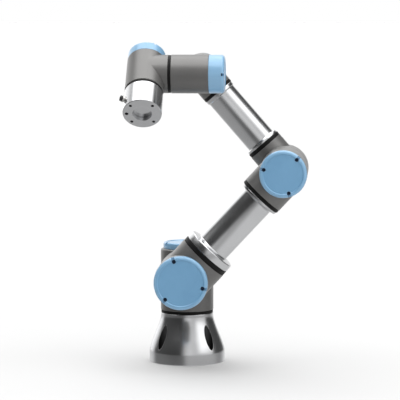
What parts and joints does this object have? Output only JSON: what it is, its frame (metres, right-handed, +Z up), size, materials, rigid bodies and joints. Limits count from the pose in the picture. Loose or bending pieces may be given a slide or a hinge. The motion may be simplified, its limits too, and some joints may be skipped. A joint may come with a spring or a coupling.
{
  "type": "collaborative robot arm",
  "caption": "Compact articulated robot arm: flared base, round joint housings with blue lids, two bare aluminium tubes, offset wrist and a drilled tool flange.",
  "frame": {"origin": "centre of the base's underside, on the base joint's axis", "axes": "+Z up along the base joint's axis; the arm's plane is XZ, the upper arm rises towards +X, the big joint lids face -Y"},
  "size_m": [0.3018, 0.3, 0.5423],
  "materials": {
    "housing_grey": "satin powder coat",
    "lid_blue": "moulded, semi-gloss",
    "bare_aluminium": "turned and satin anodised",
    "plate_aluminium": "milled",
    "seal_rubber": "matte",
    "screw_steel": "dark passivated",
    "gear_steel": "machined",
    "stator_winding": "varnished winding",
    "rotor_steel": "ground",
    "gland_plastic": "moulded, matte",
    "connector_nickel": "nickel plated"
  },
  "bodies": {
    "base": {"base_housing": "bare_aluminium", "base_bottom_plate": "plate_aluminium", "base_plate_screws": "screw_steel", "base_cable_gland": "gland_plastic", "base_seal_ring": "seal_rubber", "base_joint_flexspline": "gear_steel"},
    "shoulder": {"shoulder_housing": "housing_grey", "shoulder_lid": "lid_blue", "shoulder_lid_screws": "screw_steel", "base_joint_gear_ring": "gear_steel", "base_joint_stator": "stator_winding", "shoulder_seal_ring": "seal_rubber", "shoulder_joint_flexspline": "gear_steel"},
    "upper_arm": {"upper_arm_lower_housing": "housing_grey", "upper_arm_tube": "bare_aluminium", "upper_arm_lower_ring": "seal_rubber", "upper_arm_upper_ring": "seal_rubber", "upper_arm_elbow_housing": "housing_grey", "upper_arm_lower_lid": "lid_blue", "upper_arm_elbow_lid": "lid_blue", "upper_arm_lid_screws": "screw_steel", "shoulder_joint_gear_ring": "gear_steel", "shoulder_joint_stator": "stator_winding", "elbow_joint_gear_ring": "gear_steel", "elbow_joint_stator": "stator_winding"},
    "forearm": {"forearm_elbow_housing": "housing_grey", "forearm_tube": "bare_aluminium", "forearm_elbow_ring": "seal_rubber", "forearm_wrist_ring": "seal_rubber", "forearm_wrist_housing": "housing_grey", "forearm_lid": "lid_blue", "forearm_lid_screws": "screw_steel", "elbow_seal_ring": "seal_rubber", "elbow_joint_flexspline": "gear_steel", "wrist_1_joint_gear_ring": "gear_steel", "wrist_1_joint_stator": "stator_winding"},
    "wrist_1_link": {"wrist_1_housing": "housing_grey", "wrist_1_lid": "lid_blue", "wrist_1_lid_screws": "screw_steel", "wrist_1_seal_ring": "seal_rubber", "wrist_1_joint_flexspline": "gear_steel", "wrist_2_joint_gear_ring": "gear_steel", "wrist_2_joint_stator": "stator_winding"},
    "wrist_2_link": {"wrist_2_housing": "housing_grey", "wrist_2_lid": "lid_blue", "wrist_2_lid_screws": "screw_steel", "wrist_2_seal_ring": "seal_rubber", "wrist_2_joint_flexspline": "gear_steel", "wrist_3_joint_gear_ring": "gear_steel", "wrist_3_joint_stator": "stator_winding"},
    "wrist_3_link": {"tool_flange": "bare_aluminium", "tool_connector": "connector_nickel", "wrist_3_seal_ring": "seal_rubber", "wrist_3_joint_flexspline": "gear_steel"},
    "base_rotor": {"base_joint_rotor": "rotor_steel"},
    "shoulder_rotor": {"shoulder_joint_rotor": "rotor_steel"},
    "elbow_rotor": {"elbow_joint_rotor": "rotor_steel"},
    "wrist_1_rotor": {"wrist_1_joint_rotor": "rotor_steel"},
    "wrist_2_rotor": {"wrist_2_joint_rotor": "rotor_steel"},
    "wrist_3_rotor": {"wrist_3_joint_rotor": "rotor_steel"}
  },
  "joints": [
    {"name": "base_rotation", "type": "hinge", "parent": "base", "child": "shoulder", "pos_m": [0, 0, 0.15185], "axis": [0, 0, 1], "range_deg": [-360, 360]},
    {"name": "shoulder_lift", "type": "hinge", "parent": "shoulder", "child": "upper_arm", "pos_m": [0, -0.12, 0.15185], "axis": [0, -1, 0], "range_deg": [-317, 403]},
    {"name": "elbow", "type": "hinge", "parent": "upper_arm", "child": "forearm", "pos_m": [0.1661, -0.06, 0.32997], "axis": [0, -1, 0], "range_deg": [-222, 54]},
    {"name": "wrist_1", "type": "hinge", "parent": "forearm", "child": "wrist_1_link", "pos_m": [0.02623, -0.09, 0.49088], "axis": [0, -1, 0], "range_deg": [-409, 311]},
    {"name": "wrist_2", "type": "hinge", "parent": "wrist_1_link", "child": "wrist_2_link", "pos_m": [0.02623, -0.13105, 0.49088], "axis": [-1, 0, 0], "range_deg": [-318, 402]},
    {"name": "wrist_3", "type": "hinge", "parent": "wrist_2_link", "child": "wrist_3_link", "pos_m": [-0.05912, -0.13105, 0.49088], "axis": [0, -0.7431, -0.6691], "continuous": true},
    {"name": "base_rotor_spin", "type": "hinge", "parent": "shoulder", "child": "base_rotor", "pos_m": [0, 0, 0.15185], "axis": [0, 0, 1], "continuous": true},
    {"name": "shoulder_rotor_spin", "type": "hinge", "parent": "upper_arm", "child": "shoulder_rotor", "pos_m": [0, -0.12, 0.15185], "axis": [0, -1, 0], "continuous": true},
    {"name": "elbow_rotor_spin", "type": "hinge", "parent": "upper_arm", "child": "elbow_rotor", "pos_m": [0.1661, -0.12, 0.32997], "axis": [0, -1, 0], "continuous": true},
    {"name": "wrist_1_rotor_spin", "type": "hinge", "parent": "forearm", "child": "wrist_1_rotor", "pos_m": [0.02623, -0.027, 0.49088], "axis": [0, -1, 0], "continuous": true},
    {"name": "wrist_2_rotor_spin", "type": "hinge", "parent": "wrist_1_link", "child": "wrist_2_rotor", "pos_m": [0.02623, -0.13105, 0.49088], "axis": [-1, 0, 0], "continuous": true},
    {"name": "wrist_3_rotor_spin", "type": "hinge", "parent": "wrist_2_link", "child": "wrist_3_rotor", "pos_m": [-0.05912, -0.13105, 0.49088], "axis": [0, -0.7431, -0.6691], "continuous": true}
  ],
  "couplings": [
    {"joint": "base_rotor_spin", "follows": "base_rotation", "ratio": 100},
    {"joint": "shoulder_rotor_spin", "follows": "shoulder_lift", "ratio": 100},
    {"joint": "elbow_rotor_spin", "follows": "elbow", "ratio": -100},
    {"joint": "wrist_1_rotor_spin", "follows": "wrist_1", "ratio": -100},
    {"joint": "wrist_2_rotor_spin", "follows": "wrist_2", "ratio": -100},
    {"joint": "wrist_3_rotor_spin", "follows": "wrist_3", "ratio": -100}
  ]
}
